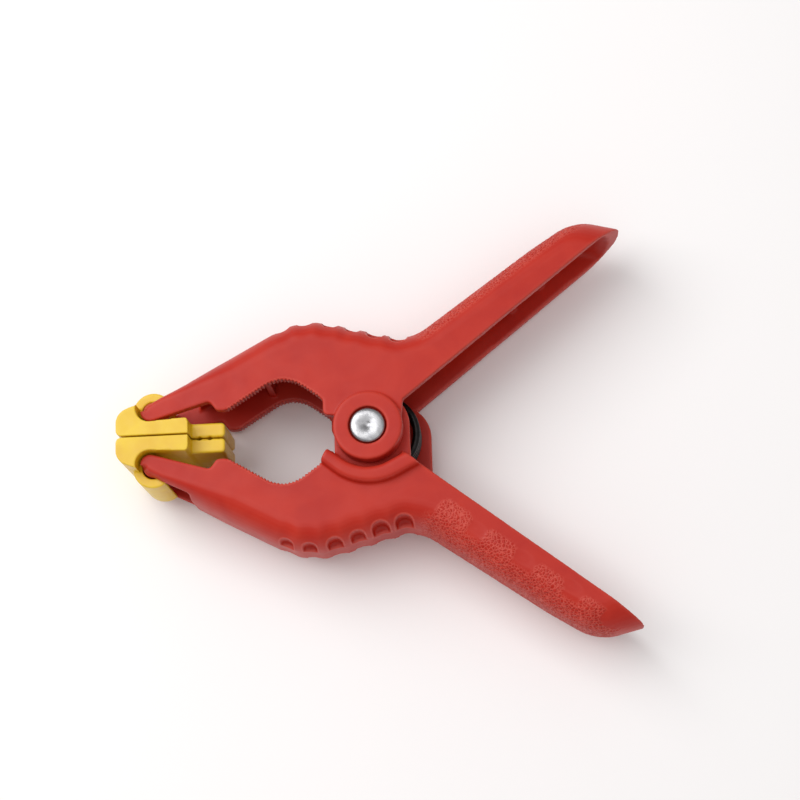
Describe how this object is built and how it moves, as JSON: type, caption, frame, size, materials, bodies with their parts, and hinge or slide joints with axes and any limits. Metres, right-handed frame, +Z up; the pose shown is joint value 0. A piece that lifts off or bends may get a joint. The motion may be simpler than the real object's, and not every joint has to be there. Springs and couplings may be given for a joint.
{
  "type": "spring clamp",
  "caption": "Nylon A-frame spring clamp, about 110 mm long: two red channel arms on a steel pin, a coil spring and a yellow swivel pad on each jaw.",
  "frame": {"origin": "centre of the pivot pin's plain end, on the surface that the clamp lies on", "axes": "+Z up along the pivot axis, +X from the pivot towards the open ends of the handles, the jaws towards -X, and the plane where the closed jaws meet is Y = 0"},
  "size_m": [0.1081, 0.0888, 0.024],
  "materials": {
    "red_nylon": "satin",
    "yellow_plastic": "satin",
    "black_spring_steel": "satin",
    "plated_steel": "satin"
  },
  "bodies": {
    "lower_half": {"lower_arm": "red_nylon", "pivot_pin": "plated_steel", "retaining_washer": "plated_steel", "torsion_spring": "black_spring_steel"},
    "upper_half": {"upper_arm": "red_nylon"},
    "lower_pad": {"lower_jaw_pad": "yellow_plastic"},
    "upper_pad": {"upper_jaw_pad": "yellow_plastic"}
  },
  "joints": [
    {"name": "arm_pivot", "type": "hinge", "parent": "lower_half", "child": "upper_half", "pos_m": [0, 0, 0.012], "axis": [0, 0, -1], "range_deg": [0, 50], "stiffness_Nm_per_rad": 0.6, "springref_deg": -85.94, "deforming": ["torsion_spring"]},
    {"name": "lower_pad_swivel", "type": "hinge", "parent": "lower_half", "child": "lower_pad", "pos_m": [-0.0458, -0.006, 0.012], "axis": [0, 0, -1], "range_deg": [0, 5]},
    {"name": "upper_pad_swivel", "type": "hinge", "parent": "upper_half", "child": "upper_pad", "pos_m": [-0.0458, 0.006, 0.012], "axis": [0, 0, 1], "range_deg": [0, 5]}
  ],
  "couplings": [
    {"joint": "lower_pad_swivel", "follows": "arm_pivot", "ratio": 0.1},
    {"joint": "upper_pad_swivel", "follows": "arm_pivot", "ratio": 0.1}
  ]
}
